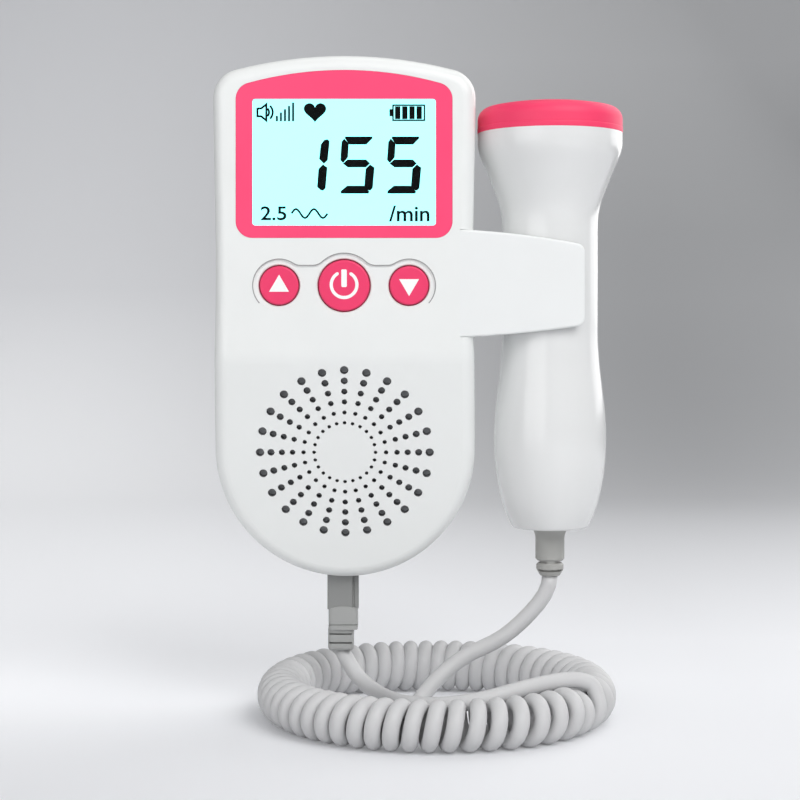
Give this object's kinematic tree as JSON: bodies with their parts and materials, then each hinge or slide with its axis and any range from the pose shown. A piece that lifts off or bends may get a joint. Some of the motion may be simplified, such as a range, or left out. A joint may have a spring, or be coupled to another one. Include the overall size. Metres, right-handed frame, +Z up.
{
  "type": "fetal doppler monitor",
  "caption": "Handheld fetal heart monitor with a display, keys and a speaker grille, an ultrasound probe held in a side clip, and a curly cord from the plug to the probe.",
  "frame": {"origin": "The middle of the flat back of the hand unit's case, on its centre line.", "axes": "X points to the side that carries the probe, Y points out of the flat back, and Z points up along the case, from the cord socket to the display end."},
  "size_m": [0.1129, 0.0998, 0.1823],
  "materials": {
    "shell_white": "satin",
    "probe_white": "gloss",
    "bezel_pink": "satin",
    "key_pink": "satin",
    "cap_pink": "gloss",
    "lens_clear": "clear",
    "lcd_glass": "gloss",
    "light_guide": "satin",
    "board_green": "satin",
    "chip_black": "matte",
    "screw_steel": "satin",
    "speaker_cloth": "matte",
    "speaker_metal": "satin",
    "speaker_paper": "matte",
    "magnet_metal": "satin",
    "cell_sleeve": "gloss",
    "contact_metal": "polished",
    "acoustic_face": "satin",
    "crystal_ceramic": "matte",
    "backing_rubber": "matte",
    "relief_grey": "matte",
    "socket_grey": "matte",
    "plug_grey": "satin",
    "boot_grey": "matte",
    "cord_grey": "satin"
  },
  "bodies": {
    "monitor": {"front_shell": "shell_white", "rear_shell": "shell_white", "probe_clip": "shell_white", "case_screws": "screw_steel", "display_bezel": "bezel_pink", "display_lens": "lens_clear", "lcd_panel": "lcd_glass", "lcd_backlight": "light_guide", "main_board": "board_green", "board_chips": "chip_black", "tact_switches": "chip_black", "board_screws": "screw_steel", "speaker_cloth": "speaker_cloth", "speaker_frame": "speaker_metal", "speaker_cone": "speaker_paper", "speaker_magnet": "magnet_metal", "battery_left": "cell_sleeve", "battery_right": "cell_sleeve", "battery_contacts": "contact_metal", "battery_springs": "contact_metal", "cord_socket": "socket_grey", "plug_body": "plug_grey", "plug_boot": "boot_grey", "cord_lead_monitor": "cord_grey", "cord_curl": "cord_grey", "cord_lead_probe": "cord_grey"},
    "power_button": {"power_button": "key_pink"},
    "volume_up_button": {"volume_up_button": "key_pink"},
    "volume_down_button": {"volume_down_button": "key_pink"},
    "battery_door": {"battery_door": "shell_white"},
    "probe": {"probe_front_shell": "probe_white", "probe_rear_shell": "probe_white", "probe_cap": "cap_pink", "probe_face": "acoustic_face", "transducer_crystals": "crystal_ceramic", "transducer_backing": "backing_rubber", "probe_board": "board_green", "probe_strain_relief": "relief_grey"}
  },
  "joints": [
    {"name": "power_press", "type": "slide", "parent": "monitor", "child": "power_button", "axis": [0, 1, 0], "range_m": [0, 0.0006], "stiffness_N_per_m": 800},
    {"name": "volume_up_press", "type": "slide", "parent": "monitor", "child": "volume_up_button", "axis": [0, 1, 0], "range_m": [0, 0.0006], "stiffness_N_per_m": 800},
    {"name": "volume_down_press", "type": "slide", "parent": "monitor", "child": "volume_down_button", "axis": [0, 1, 0], "range_m": [0, 0.0006], "stiffness_N_per_m": 800},
    {"name": "battery_door_hinge", "type": "hinge", "parent": "monitor", "child": "battery_door", "pos_m": [0, -0.0009, 0.0067], "axis": [-1, 0, 0], "range_deg": [0, 90]},
    {"name": "probe_release", "type": "slide", "parent": "monitor", "child": "probe", "axis": [1, 0, 0], "range_m": [0, 0.022], "deforming": ["cord_lead_probe"]}
  ]
}
